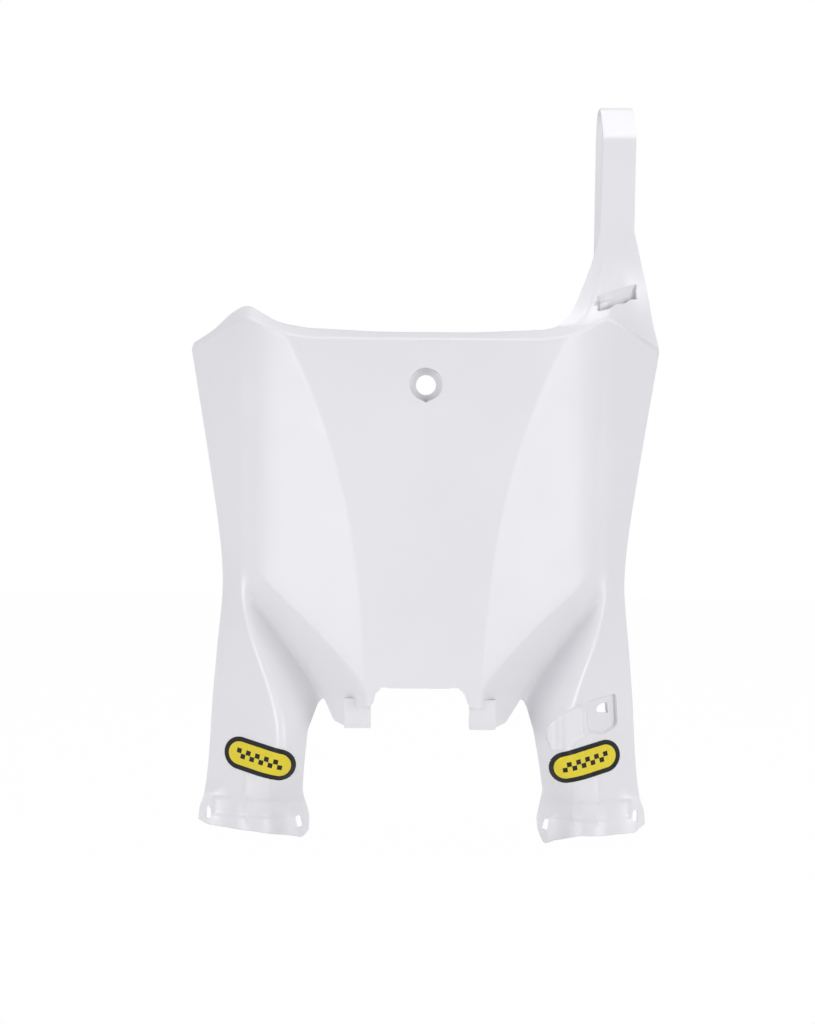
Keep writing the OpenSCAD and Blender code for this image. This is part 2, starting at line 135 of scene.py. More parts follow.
def plain_face(x, z):
    a = np.abs(x)
    c, d, r = crease_x(z), diagonal_x(z), ridge_x(z)
    facet = np.minimum(a, c) ** 2 / PANEL_CROWN + z * z / PANEL_BOW
    facet = facet + FACET_SLOPE * (ramp(a - c, 1.2) - 0.1)
    stepped = facet + 0.72 * mix(1.19, 0.7, clamp01((d - 34) / 62)) * (ramp(a - d, 1.0) - 0.1)
    inner = wing_y(r, z) + INNER_SLOPE * (r - a)
    roll = mix(12, 7, ease((-z - 100) / 50)) + 19 * ease((-z - 215) / 30)
    y = round_max(round_min(stepped, inner, 10), wing_y(a, z), roll)
    return mix(y, round_min(y, 46, 8), ease((-z - COLLAR_TOP + 12) / 10))


# Columns of the sheet crowd together at the creases and on the legs; rows crowd on the legs
PANEL_COLS, FACET_COLS, INNER_COLS, OUTER_COLS = 16, 12, 32, 32
PANEL_SHARES = [(0, 0), (8, 0.2), (11, 0.6), (14, 0.97), (PANEL_COLS, 1)]
HALF_COLS = PANEL_COLS + FACET_COLS + INNER_COLS + OUTER_COLS
STRAP_COLS = INNER_COLS + OUTER_COLS + 15
STRAP_FROM = HALF_COLS - STRAP_COLS
FOLD_ROWS, FLANGE_ROWS = 3, 5
EDGE_ROWS = FOLD_ROWS + FLANGE_ROWS
ROOT_ROWS, RUN_ROWS = 60, 84
STRAP_ROWS = EDGE_ROWS + ROOT_ROWS + RUN_ROWS
BODY_STOPS = [0, 22, 62, 168]
BODY_ROWS = BODY_STOPS[-1]
UPPER_LEVEL, LOWER_LEVEL, LAST_LEVEL = -18, -150, -LEG_DROP - 7


def column_x(n, z):
    c, r = crease_x(z), ridge_x(z)
    d = np.minimum(mix(c, r, 0.8), np.maximum(c + 12, diagonal_x(z)))
    at_facet = n - PANEL_COLS
    at_inner = at_facet - FACET_COLS
    at_outer = at_inner - INNER_COLS
    panel = c * np.interp(n, *zip(*PANEL_SHARES))
    facet = mix(c, d, ease(at_facet / FACET_COLS))
    t = clamp01(at_inner / INNER_COLS)
    inner = mix(d, r, mix(t, ease(t), 0.6))
    outer = mix(r, edge_x(z), clamp01(at_outer / OUTER_COLS))
    leg = np.where(at_outer <= 0, inner, outer)
    return np.where(at_facet <= 0, panel, np.where(at_inner <= 0, facet, leg))


def front_edge(u):
    a = column_x(np.abs(u), TOP_RISE)
    z = top_edge(a)
    x = np.sign(u) * column_x(np.abs(u), z)
    return x, z


FOLD_R = 1.3


def body_xz(u, v):
    edge_a = column_x(np.abs(u), TOP_RISE)
    s = np.interp(v, BODY_STOPS, [0, 1, 2, 3])
    z = np.where(s < 1, mix(top_edge(edge_a) - FOLD_R, UPPER_LEVEL, clamp01(s)),
                 np.interp(s, [1, 2, 3], [UPPER_LEVEL, LOWER_LEVEL, LAST_LEVEL]))
    return np.sign(u) * column_x(np.abs(u), z), z


# The openings are outlines of corners (x, z, radius). Each gives the distance of a place from
# it, below zero inside
def rounded(points, steps=7):
    out = []
    for i, (x, z, r) in enumerate(points):
        p = Vector((x, z))
        q, s = Vector(points[i - 1][:2]), Vector(points[(i + 1) % len(points)][:2])
        if r < 0.01:
            out.append(tuple(p))
            continue
        u, w = (q - p).normalized(), (s - p).normalized()
        turn = u.angle(w)
        centre = p + (u + w).normalized() * r / math.sin(turn / 2)
        a, b = p + u * r / math.tan(turn / 2) - centre, p + w * r / math.tan(turn / 2) - centre
        for k in range(steps + 1):
            out.append(tuple(centre + a.lerp(b, k / steps).normalized() * r))
    return np.array(out)


def away_from(outline):
    p, q = outline, np.roll(outline, -1, axis=0)

    def distance(x, z):
        x, z = np.asarray(x)[:, None], np.asarray(z)[:, None]
        e = q - p
        t = clamp01(((x - p[:, 0]) * e[:, 0] + (z - p[:, 1]) * e[:, 1]) / (e ** 2).sum(axis=1))
        gap = np.hypot(x - p[:, 0] - t * e[:, 0], z - p[:, 1] - t * e[:, 1]).min(axis=1)
        crosses = ((p[:, 1] > z) != (q[:, 1] > z))
        with np.errstate(divide="ignore", invalid="ignore"):
            at = e[:, 0] * (z - p[:, 1]) / e[:, 1] + p[:, 0]
        inside = (crosses & (x < at)).sum(axis=1) % 2 == 1
        return np.where(inside, -gap, gap)
    return distance


def slot_at(x0, z0, tilt, width, length):
    c, s = math.cos(math.radians(tilt)), math.sin(math.radians(tilt))

    def distance(x, z):
        across = (x - x0) * c - (z - z0) * s
        along = (x - x0) * s + (z - z0) * c
        return np.hypot(across, np.maximum(0, np.abs(along) - (length - width) / 2)) - width / 2
    return distance


# Below the panel: the toes, the gap between the legs, and the collar at the foot of each leg
# with its two slots for the tie. The two sides differ a little, as moulded
LEFT_TOE, RIGHT_TOE, LEFT_GAP, RIGHT_GAP = 31.8, 28, 74.5, 72.3
LEFT_COLLAR = [(-0.3, 6, 20), (-4.7, -10, 6), (-4.4, -19, 4), (-0.5, -23.4, 2), (29.5, -17.6, 30)]
RIGHT_COLLAR = [(2.4, 7.5, 4), (-0.9, -10, 8), (-0.4, -17, 5), (3.6, -26.4, 1.5),
                (10, -23.5, 12), (24, -19, 20)]


def leg_side(toe_x, gap_x, peak, collar, lift):
    return [
        (toe_x - 4, -TOE_LEVEL + 9, 6), (toe_x - 0.5, -TOE_LEVEL - 2.5, 2),
        (toe_x + 9, -TOE_LEVEL - 3.5, 8), (toe_x + 14.5, -TOE_LEVEL - 6.5, 1),
        (toe_x + 15, -TOE_LEVEL - 16, 0.6), (toe_x + 23, -TOE_LEVEL - 13.2, 3.5),
        (gap_x - peak, -TOE_LEVEL + 3, 2), (gap_x - 4, -TOE_LEVEL - 19, 14),
        *[(gap_x + across, -COLLAR_TOP + up, r) for across, up, r in collar],
        (LEGS_W / 2 - 2, -LEG_DROP + 0.7 + lift, 4),
        (LEGS_W / 2 + 6, -LEG_DROP + 8, 0), (LEGS_W / 2 + 30, -LEG_DROP + 8, 0)]


floor_side = [(LEGS_W / 2 + 30, -LEG_DROP - 40, 0), (-LEGS_W / 2 - 30, -LEG_DROP - 40, 0)]
left_side = [(-x, z, r) for x, z, r in reversed(leg_side(LEFT_TOE, LEFT_GAP, 12, LEFT_COLLAR, 3.2))]
right_side = leg_side(RIGHT_TOE, RIGHT_GAP, 10, RIGHT_COLLAR, 0.3)
between_legs = away_from(rounded(right_side + floor_side + left_side))
SLOT_LEVEL, SLOT_W, SLOT_H = LEG_DROP - 10, 3, 7.5
tie_slots = [
    slot_at(-LEGS_W / 2 + 1.5, -SLOT_LEVEL + 1.5, 0, SLOT_W, SLOT_H),
    slot_at(LEGS_W / 2 - 1.5, -SLOT_LEVEL + 1.5, 0, SLOT_W, SLOT_H),
    slot_at(-LEFT_GAP - 1.8, -SLOT_LEVEL - 3, -14, SLOT_W, SLOT_H),
    slot_at(RIGHT_GAP + 4.6, -SLOT_LEVEL - 4, 12, SLOT_W, SLOT_H)]


# The strap is one with the board: it narrows from the right shoulder to a neck, goes up
# over the handlebar and hangs down behind, where its end goes back through the keeper. Low
# down it leans inward by STRAP_LEAN and is wider by STRAP_SPREAD
STRAP_W, STRAP_X, STRAP_LEAN, STRAP_SPREAD, STRAIGHT_FROM = 20.5, 119.5, 1.6, 0.8, 60
NECK_X, NECK_Y, NECK_Z, NECK_W = STRAP_X - STRAP_LEAN, 42, 98, STRAP_W + STRAP_SPREAD


def bent_path(corners):
    line = rounded(corners, 10)
    line = np.vstack([[corners[0][:2]], line[1:-1], [corners[-1][:2]]])
    run = np.concatenate([[0], np.cumsum(np.hypot(*np.diff(line, axis=0).T))])
    return line, run


strap_line, strap_run = bent_path([
    (NECK_Y, NECK_Z, 0), (46, 156.8, 1.5), (59.5, 171, 1.5), (69, 179.8, 5),
    (88, 179.8, 9), (96, 164, 12), (99, 88, 0)])
root_left, root_right = front_edge(np.array([STRAP_FROM, HALF_COLS], float))[0]

# How far the root's left flank lies inside the straight line from its foot to the neck
FLANK_SAG = [(0, 0), (0.03, 6.326), (0.08, 8.236), (0.157, 10.5794), (0.235, 11.087),
             (0.314, 10.6588), (0.39, 10.038), (0.47, 9.074), (0.55, 8.21), (0.63, 7.146),
             (0.71, 5.982), (0.78, 4.776), (0.88, 2.696), (1, 0)]


# Rows above the front edge: a tight fold, then the flange that goes back over the panel and,
# beside it, the narrow ledge that carries the strap's root
FLANGE_DEPTH, LEDGE_DEPTH, LEDGE_RISE, LEDGE_COLS = 14, 5, 2.6, 9


def edge_reach(u, x0):
    a = np.abs(x0)
    rise = mix(4.9, 7, ease((a - 20) / 60)) + 1.8 * ease((a - 90) / 16) - 3.8 * ease((a - 118) / 18)
    back = np.stack([0 * rise, 0 * rise + FLANGE_DEPTH, rise], axis=-1)
    narrowing = mix(1, 0.5, ease((x0 - PEAK_X) / 36))
    ledge = np.stack([0 * rise, LEDGE_DEPTH * narrowing, 0 * rise + LEDGE_RISE], axis=-1)
    return mix(back, ledge, ease((u - STRAP_FROM) / LEDGE_COLS)[:, None])


def strap_point(u, k):
    x0, z0 = front_edge(u)
    reach = edge_reach(u, x0)
    f = (x0 - root_left) / (root_right - root_left)
    t = clamp01(k / ROOT_ROWS)
    s = np.maximum(0, k - ROOT_ROWS) / RUN_ROWS * strap_run[-1]
    beyond = k > ROOT_ROWS
    lean = np.interp(s, [0, STRAIGHT_FROM, 200], [STRAP_LEAN, 0, 0.8])
    wide = np.interp(s, [0, STRAIGHT_FROM], [STRAP_SPREAD, 0])
    run_x = STRAP_X - lean + (STRAP_W + wide) * (f - 0.5)
    run_y, run_z = [np.interp(s, strap_run, strap_line[:, i]) for i in (0, 1)]
    left = mix(root_left, NECK_X - NECK_W / 2, t) + np.interp(t, *zip(*FLANK_SAG))
    right = mix(root_right, NECK_X + NECK_W / 2, t) - 1.8 * ease(t / 0.25) * (1 - t)
    root_x = mix(left, right, f)
    root_y = mix(plain_face(root_x, z0) + reach[:, 1], NECK_Y, 1 - (1 - t) ** 1.8)
    root_z = mix(z0 + reach[:, 2], NECK_Z, t)
    root, run = np.stack([root_x, root_y, root_z], axis=-1), np.stack([run_x, run_y, run_z], axis=-1)
    return np.where(beyond[:, None], run, root)


def edge_point(u, w):
    x0, z0 = front_edge(u)
    p0 = np.stack([x0, plain_face(x0, z0), z0], axis=-1)
    bx, bz = body_xz(u, np.zeros_like(u))
    below = np.stack([bx, plain_face(bx, bz), bz], axis=-1)
    towards = edge_reach(u, x0)
    length = np.linalg.norm(towards, axis=-1, keepdims=True)
    above = p0 + towards / length * FOLD_R
    s = clamp01((FOLD_ROWS - w) / FOLD_ROWS)[:, None]
    fold = above * (1 - s) ** 2 + 2 * p0 * s * (1 - s) + below * s ** 2
    far = clamp01((w - FOLD_ROWS) / FLANGE_ROWS)[:, None]
    flange = p0 + towards * mix(FOLD_R / length, 1, far)
    return np.where((w <= FOLD_ROWS)[:, None], fold, flange)


# The keeper: a louvre in the strap's root, cut free at its foot only and pressed back between
# two narrow troughs, so that the strap's end can be pushed down behind the lip below it
KEEPER_LIP = [(104.6, 46.8), (112, 48.8), (114.5, 50.6), (117, 52.3),
              (124, 53.5), (127.2, 56), (130.9, 56.4)]
KEEPER_LEFT, KEEPER_RIGHT, KEEPER_SLOPE = 105.1, 130.5, 0.349
KEEPER_GAP, KEEPER_DEPTH, KEEPER_DROP = 2.2, 5.5, 3.4
TROUGH = [(0, 0), (0.4, 1.25), (1.3, 1.25), (1.8, 1)]


def keeper_top(x):
    return 57.4 + KEEPER_SLOPE * (x - 105)


def keeper_foot(x):
    return np.interp(x, *zip(*KEEPER_LIP)) + KEEPER_GAP


keeper_slot = away_from(rounded([(x, z, 0.4) for x, z in KEEPER_LIP]
                                + [(x, z + KEEPER_GAP, 0.4) for x, z in reversed(KEEPER_LIP)]))


def keeper_place(x, z):
    (x0, z0), (x1, z1) = KEEPER_LIP[0], KEEPER_LIP[-1]
    above_lip = z - mix(z0, z1, (x - x0) / (x1 - x0))
    return x + 0.02 * above_lip


def keeper_ends(inset):
    def distance(x, z):
        at = keeper_place(x, z)
        beside = np.maximum(KEEPER_LEFT + inset - at, at - KEEPER_RIGHT + inset)
        return np.maximum(beside, np.maximum(z - keeper_top(x), keeper_foot(x) - 2.6 - z))
    return distance


def pressed_back(place):
    x, z = place[:, 0], place[:, 2]
    t = (keeper_top(x) - z) / (keeper_top(x) - keeper_foot(x))
    at = keeper_place(x, z)
    within = np.interp(np.minimum(at - KEEPER_LEFT, KEEPER_RIGHT - at), *zip(*TROUGH))
    on_flap = (t > 0) & (z > keeper_foot(x) - 0.3) & (place[:, 1] < 60)
    back = np.where(on_flap, np.maximum(ease(t * 1.1), 0.6 * clamp01(t * 3)) * within, 0)
    return place + np.stack([0 * x, KEEPER_DEPTH * back, -KEEPER_DROP * clamp01(back) ** 2], axis=-1)


def board_point(u, v):
    x, z = body_xz(u, np.maximum(v, 0))
    body = np.stack([x, board_face(x, z), z], axis=-1)
    w = np.maximum(-v, 0)
    strap = strap_point(u, np.maximum(w - EDGE_ROWS, 0))
    upper = np.where((w > EDGE_ROWS)[:, None], strap, edge_point(u, w))
    return np.where((v >= 0)[:, None], body, upper)


# Moulded details of the legs: the tie groove of each collar with its upright ribs, and on the
# right leg the hose guide, a raised pad with a groove down its face, and a pocket beside it
guide_pad = away_from(rounded([
    (75, -206.6, 3), (81.6, -200.5, 3), (92, -195, 3), (97.8, -193, 1.5), (98.4, -209, 3),
    (99.6, -213.4, 2), (89, -220, 6), (79.5, -224.2, 4), (75, -214.6, 5)]))
guide_pocket = away_from(rounded([
    (99.5, -192.4, 1.5), (120, -188, 2), (121, -208, 5), (112, -213, 6), (101, -211, 3)]))
guide_window = away_from(rounded([
    (109.6, -194.3, 0.5), (114.6, -193.6, 0.5), (114.8, -200, 0.6),
    (107.2, -199.6, 0.6), (107.4, -196.4, 0.5)]))
GUIDE_X, GUIDE_Y, HOSE_R = 81.5, 18.8, 5.5
GROOVE_DEPTH, RIB_HEIGHT, RIDGE_HEIGHT, POCKET_DEPTH = 1.1, 0.8, 0.45, 3.6


def fixing_hole(x, z):
    key = np.maximum(np.abs(x) - KEY_W / 2, -z - RECESS_R - KEY_DEPTH)
    return np.minimum(np.hypot(x, z) - RECESS_R, np.where(z < 0, key, 99))


def bump(t, width):
    return np.exp(-(t / width) ** 2)


def board_face(x, z):
    a = np.abs(x)
    y = plain_face(x, z)
    groove_z = ease((-z - 253.5) / 2) * (1 - ease((-z - 264.5) / 2))
    groove_x = ease((a - 79) / 3) * (1 - ease((a - 128) / 3))
    y = y + GROOVE_DEPTH * (groove_z * groove_x)
    rib_reach = ease((-z - 237) / 5) * (1 - ease((-z - 266) / 3))
    y = y - RIB_HEIGHT * rib_reach * (bump(a - 93, 1.1) + bump(a - 108, 1.1))
    ridge_at = 108 - 0.85 * np.maximum(0, z + 241)
    ridge_reach = np.where(x > 0, ease((-z - 221) / 4) * (1 - ease((-z - 241) / 3)), 0)
    y = y - RIDGE_HEIGHT * ridge_reach * bump(x - ridge_at, 1.0)
    near = (x > 70) & (x < 126) & (z < -184) & (z > -229)
    if near.any():
        xs, zs = x[near], z[near]
        hose_y = GUIDE_Y - 2 + np.sqrt(np.maximum(0, HOSE_R ** 2 - (xs - GUIDE_X) ** 2))
        pad_y = round_max(GUIDE_Y + 0 * xs, hose_y, 0.8)
        ys = y[near] + POCKET_DEPTH * (1 - ease((guide_pocket(xs, zs) + 1.1) / 1.3))
        ys = mix(ys, pad_y, 1 - ease((guide_pad(xs, zs) + 1.2) / 1.3))
        y = y.copy()
        y[near] = ys
    return y


# An opening is cut by laying edges of the mesh along its outline, where a point that is near
# enough is moved onto it, and deleting what is inside. It is looked for between two rows only
SNAP_SHARE = 0.28


def cut_open(bm, distance, rows, locate, only_line=False):
    verts = [p for p in bm.verts if rows[0] <= p.co.y <= rows[1]]

    def measure(points):
        place = locate(np.array([p.x for p in points]), np.array([p.y for p in points]))
        return distance(place[:, 0], place[:, 2])
    gap = dict(zip(verts, measure([p.co for p in verts])))
    near = [e for e in bm.edges if e.verts[0] in gap and e.verts[1] in gap
            and gap[e.verts[0]] * gap[e.verts[1]] < 0]
    moves = {}
    for e in near:
        a, b = e.verts
        f = gap[a] / (gap[a] - gap[b])
        for p, q, g in ((a, b, f), (b, a, 1 - f)):
            if g < SNAP_SHARE and g < moves.get(p, (1, None))[0]:
                moves[p] = (g, p.co.lerp(q.co, g))
    for p, (g, place) in moves.items():
        p.co = place
        gap[p] = 0.0
    on_line = list(moves)
    for e in near:
        a, b = e.verts
        if gap[a] * gap[b] < 0:
            f = gap[a] / (gap[a] - gap[b])
            _, new = bmesh.utils.edge_split(e, a, f)
            gap[new] = 0.0
            on_line.append(new)
    bmesh.ops.connect_verts(bm, verts=on_line)
    if only_line:
        return
    faces = [f for f in bm.faces if all(p in gap for p in f.verts)]
    inside = measure([f.calc_center_median() for f in faces])
    bmesh.ops.delete(bm, geom=[f for f, d in zip(faces, inside) if d < 0], context="FACES")


# The sheet starts as a flat grid of columns and rows. What the board doesn't have is deleted,
# the openings are cut, and every point is then laid on the face. The wall goes behind it
def deselect_all():
    bpy.ops.object.select_all(action="DESELECT")


deselect_all()
ALL_ROWS = STRAP_ROWS + BODY_ROWS
bpy.ops.mesh.primitive_grid_add(x_subdivisions=2 * HALF_COLS, y_subdivisions=ALL_ROWS, size=1)
board = bpy.context.object
board.name = "board_shell"
bm = bmesh.new()
bm.from_mesh(board.data)
for p in bm.verts:
    col, row = round((p.co.x + 0.5) * 2 * HALF_COLS), round((p.co.y + 0.5) * ALL_ROWS)
    p.co = (col - HALF_COLS, BODY_ROWS - row, 0)
unused = [f for f in bm.faces for c in [f.calc_center_median()]
          if c.y < -EDGE_ROWS and c.x < STRAP_FROM]
bmesh.ops.delete(bm, geom=unused, context="FACES")
cut_open(bm, between_legs, (40, BODY_ROWS), board_point)
for slot in tie_slots:
    cut_open(bm, slot, (130, BODY_ROWS), board_point)
for outline, level in ((guide_pad, -1.2), (guide_pad, 0.1), (guide_pocket, -1.1), (guide_pocket, 0.2)):
    cut_open(bm, lambda x, z: outline(x, z) - level, (80, 150), board_point, only_line=True)
cut_open(bm, guide_window, (80, 140), board_point)
cut_open(bm, fixing_hole, (1, 40), board_point)
root_rows = (-EDGE_ROWS - ROOT_ROWS, -EDGE_ROWS)
for inset, _ in TROUGH:
    cut_open(bm, keeper_ends(inset), root_rows, board_point, only_line=True)
cut_open(bm, keeper_slot, root_rows, board_point)
place = board_point(np.array([p.co.x for p in bm.verts]), np.array([p.co.y for p in bm.verts]))
for p, q in zip(bm.verts, pressed_back(place)):
    p.co = q / 1000
bmesh.ops.recalc_face_normals(bm, faces=bm.faces)
if sum(f.normal.y * f.calc_area() for f in bm.faces) > 0:
    bmesh.ops.reverse_faces(bm, faces=bm.faces)
bm.to_mesh(board.data)
bm.free()


def add_modifier(obj, kind, **settings):
    mod = obj.modifiers.new(kind.title(), kind)
    for key, value in settings.items():
        setattr(mod, key, value)
    deselect_all()
    obj.select_set(True)
    bpy.context.view_layer.objects.active = obj
    bpy.ops.object.modifier_apply(modifier=mod.name)


SMOOTH_ANGLE = math.radians(32)
add_modifier(board, "SOLIDIFY", thickness=WALL / 1000, offset=-1, use_even_offset=True,
             use_quality_normals=True)
add_modifier(board, "BEVEL", width=0.0004, segments=2, limit_method="ANGLE",
             angle_limit=math.radians(55), miter_outer="MITER_SHARP", use_clamp_overlap=True)
bpy.ops.object.shade_smooth_by_angle(angle=SMOOTH_ANGLE)


# White polypropylene: a satin skin with faint flow marks, a fine grain, and light scuffs
def shader(name, roughness, metallic=0.0):
    mat = bpy.data.materials.new(name)
    mat.use_nodes = True
    surface = mat.node_tree.nodes["Principled BSDF"]
    surface.inputs["Roughness"].default_value = roughness
    surface.inputs["Metallic"].default_value = metallic
    return mat, mat.node_tree.nodes, mat.node_tree.links, surface


def noise(nodes, links, source, scale, detail=3.0):
    texture = nodes.new("ShaderNodeTexNoise")
    texture.inputs["Scale"].default_value = scale
    texture.inputs["Detail"].default_value = detail
    links.new(source, texture.inputs["Vector"])
    return texture.outputs["Fac"]


def spread(nodes, links, source, low, high):
    ranged = nodes.new("ShaderNodeMapRange")
    ranged.inputs["From Min"].default_value = 0.3
    ranged.inputs["From Max"].default_value = 0.7
    ranged.inputs["To Min"].default_value = low
    ranged.inputs["To Max"].default_value = high
    links.new(source, ranged.inputs["Value"])
    return ranged.outputs["Result"]


def tinted(nodes, links, factor, colour_a, colour_b):
    blend = nodes.new("ShaderNodeMix")
    blend.data_type = "RGBA"
    blend.inputs["A"].default_value = (*colour_a, 1)
    blend.inputs["B"].default_value = (*colour_b, 1)
    links.new(factor, blend.inputs["Factor"])
    return blend.outputs["Result"]


def bumped(nodes, links, surface, height, strength, distance):
    relief = nodes.new("ShaderNodeBump")
    relief.inputs["Strength"].default_value = strength
    relief.inputs["Distance"].default_value = distance
    links.new(height, relief.inputs["Height"])
    links.new(relief.outputs["Normal"], surface.inputs["Normal"])


white_plastic, nodes, links, surface = shader("white_polypropylene", 0.36)
place_of = nodes.new("ShaderNodeTexCoord").outputs["Object"]
flow = spread(nodes, links, noise(nodes, links, place_of, 9, 2), 0, 1)
FLOW_DULL, FLOW_BRIGHT = (0.80, 0.795, 0.82), (0.835, 0.83, 0.85)
links.new(tinted(nodes, links, flow, FLOW_DULL, FLOW_BRIGHT), surface.inputs["Base Color"])
scuffs = spread(nodes, links, noise(nodes, links, place_of, 60, 4), 0.32, 0.44)
links.new(scuffs, surface.inputs["Roughness"])
surface.inputs["IOR"].default_value = 1.49
bumped(nodes, links, surface, noise(nodes, links, place_of, 900, 2), 0.08, 0.0002)
board.data.materials.clear()
board.data.materials.append(white_plastic)
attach(board, "root")
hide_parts("number_board")


# The fixing hole: a cup moulded behind the panel in the same plastic, open to the front, with
# a bore in its floor for the bolt's sleeve and a key notch at the bottom
CUP_R, CUP_BACK, CUP_START = RECESS_R + WALL, RECESS_DEPTH + WALL, 0.5
CUP = [(CUP_R, CUP_START), (CUP_R, CUP_BACK - 0.6), (CUP_R - 0.6, CUP_BACK),
       (BORE_R + 0.4, CUP_BACK), (BORE_R, CUP_BACK - 0.4), (BORE_R, RECESS_DEPTH + 0.4),
       (BORE_R + 0.4, RECESS_DEPTH), (RECESS_R - 0.9, RECESS_DEPTH),
       (RECESS_R - 0.3, RECESS_DEPTH - 0.2), (RECESS_R - 0.06, RECESS_DEPTH - 0.8),
       (RECESS_R - 0.06, CUP_START)]
deselect_all()
bpy.ops.mesh.primitive_circle_add(vertices=96, radius=CUP_R / 1000, location=(0, CUP_START / 1000, 0),
                                  rotation=(math.radians(90), 0, 0))
cup = bpy.context.object
cup.name = "fixing_cup"
bpy.ops.object.transform_apply(location=True, rotation=True, scale=True)
bpy.ops.object.mode_set(mode="EDIT")
bpy.ops.mesh.select_mode(type="EDGE")
bpy.ops.mesh.select_all(action="SELECT")
for (r0, y0), (r1, y1) in zip(CUP, CUP[1:]):
    bpy.ops.mesh.extrude_region_move(TRANSFORM_OT_translate={"value": (0, (y1 - y0) / 1000, 0)})
    if abs(r1 - r0) > 0.001:
        bpy.ops.transform.resize(value=(r1 / r0, 1, r1 / r0), center_override=(0, y1 / 1000, 0))
bpy.ops.mesh.select_all(action="DESELECT")
bpy.ops.mesh.select_mode(type="VERT")
bpy.ops.object.mode_set(mode="OBJECT")
for p in cup.data.vertices:
    p.select = abs(p.co.y - CUP_START / 1000) < 1e-6
for e in cup.data.edges:
    e.select = all(cup.data.vertices[i].select for i in e.vertices)
bpy.ops.object.mode_set(mode="EDIT")
bpy.ops.mesh.select_mode(type="EDGE")
bpy.ops.mesh.bridge_edge_loops()
bpy.ops.mesh.select_all(action="SELECT")
bpy.ops.mesh.normals_make_consistent(inside=False)
bpy.ops.object.mode_set(mode="OBJECT")
deselect_all()
bpy.ops.mesh.primitive_cube_add(size=1)
notch = bpy.context.object
for p in notch.data.vertices:
    p.co = (p.co.x * KEY_W / 1000, (RECESS_DEPTH - 4) / 1000 + p.co.y * RECESS_DEPTH / 1000,
            (p.co.z * 4 - RECESS_R - KEY_DEPTH + 2) / 1000)
add_modifier(cup, "BOOLEAN", object=notch, operation="DIFFERENCE", solver="EXACT")
bpy.data.objects.remove(notch)
bpy.ops.object.shade_smooth_by_angle(angle=SMOOTH_ANGLE)
cup.data.materials.append(white_plastic)
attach(cup, "root")


# The toes: a tab under each toe, moulded on and set back behind the sheet's edge, with a short
# rib behind at each side that stiffens it
TOE_DROP, TAB_W, TAB_H, TAB_RIB, TAB_REACH = 208, 16, 18, 2, 9
for side, name, toe_x in ((-1, "left_toe_tab", LEFT_TOE), (1, "right_toe_tab", RIGHT_TOE)):
    deselect_all()
    tab_middle = toe_x + TAB_W / 2
    tab_y = plain_face(np.array([tab_middle]), np.array([-TOE_LEVEL]))[0] + 0.4 * WALL
    bpy.ops.mesh.primitive_grid_add(x_subdivisions=3, y_subdivisions=1, size=1)
    tab = bpy.context.object
    tab.name = name
    stops = [0, TAB_RIB, TAB_W - TAB_RIB, TAB_W]
    for p in tab.data.vertices:
        across = stops[round((p.co.x + 0.5) * 3)]
        p.co = (side * (toe_x + across) / 1000, (tab_y + (p.co.y + 0.5) * WALL) / 1000, -TOE_DROP / 1000)
    bpy.ops.object.mode_set(mode="EDIT")
    bpy.ops.mesh.select_all(action="SELECT")
    bpy.ops.mesh.extrude_region_move(TRANSFORM_OT_translate={"value": (0, 0, TAB_H / 1000)})
    bpy.ops.mesh.select_all(action="SELECT")
    bpy.ops.mesh.normals_make_consistent(inside=False)
    bpy.ops.object.mode_set(mode="OBJECT")
    bm = bmesh.new()
    bm.from_mesh(tab.data)
    backs = [f for f in bm.faces if f.normal.y > 0.9
             and abs(abs(f.calc_center_median().x) * 1000 - tab_middle) > TAB_W / 2 - TAB_RIB]
    grown = bmesh.ops.extrude_discrete_faces(bm, faces=backs)["faces"]
    bmesh.ops.translate(bm, vec=(0, (TAB_REACH - WALL) / 1000, 0),
                        verts=[v for f in grown for v in f.verts])
    bmesh.ops.recalc_face_normals(bm, faces=bm.faces)
    bm.to_mesh(tab.data)
    bm.free()
    add_modifier(tab, "BEVEL", width=0.0005, segments=2)
    bpy.ops.object.shade_smooth_by_angle(angle=SMOOTH_ANGLE)
    tab.data.materials.append(white_plastic)
    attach(tab, "root")


# The stickers: a printed vinyl patch glued to the curved face of each leg. The print is a
# yellow field in a black border with a small chequered band
STICKER_W, STICKER_H, STICKER_T, STICKER_TILT = 46, 20, 0.3, 12
STICKER_X, STICKER_Z = LEGS_W / 2 - 34, -229
BORDER_W, SQUARE, BAND_SQUARES = 2.9, 3.0, 5
PATCH_W, PATCH_H = 50, 24
YELLOW, BLACK = (0.80, 0.66, 0.035), (0.006, 0.006, 0.007)


def sticker_shape(x, z):
    return np.hypot(np.maximum(0, np.abs(x) - (STICKER_W - STICKER_H) / 2), z) - STICKER_H / 2


def flat_place(u, v):
    return np.stack([u, 0 * u, v], axis=-1)


vinyl, nodes, links, surface = shader("printed_vinyl", 0.28)
surface.inputs["IOR"].default_value = 1.38
uv = nodes.new("ShaderNodeUVMap")
uv.uv_map = "UVMap"
parts = nodes.new("ShaderNodeSeparateXYZ")
links.new(uv.outputs["UV"], parts.inputs[0])


def sum_up(operation, *values, clamp=False):
    node = nodes.new("ShaderNodeMath")
    node.operation = operation
    node.use_clamp = clamp
    for i, value in enumerate(values):
        if isinstance(value, (int, float)):
            node.inputs[i].default_value = value
        else:
            links.new(value, node.inputs[i])
    return node.outputs[0]


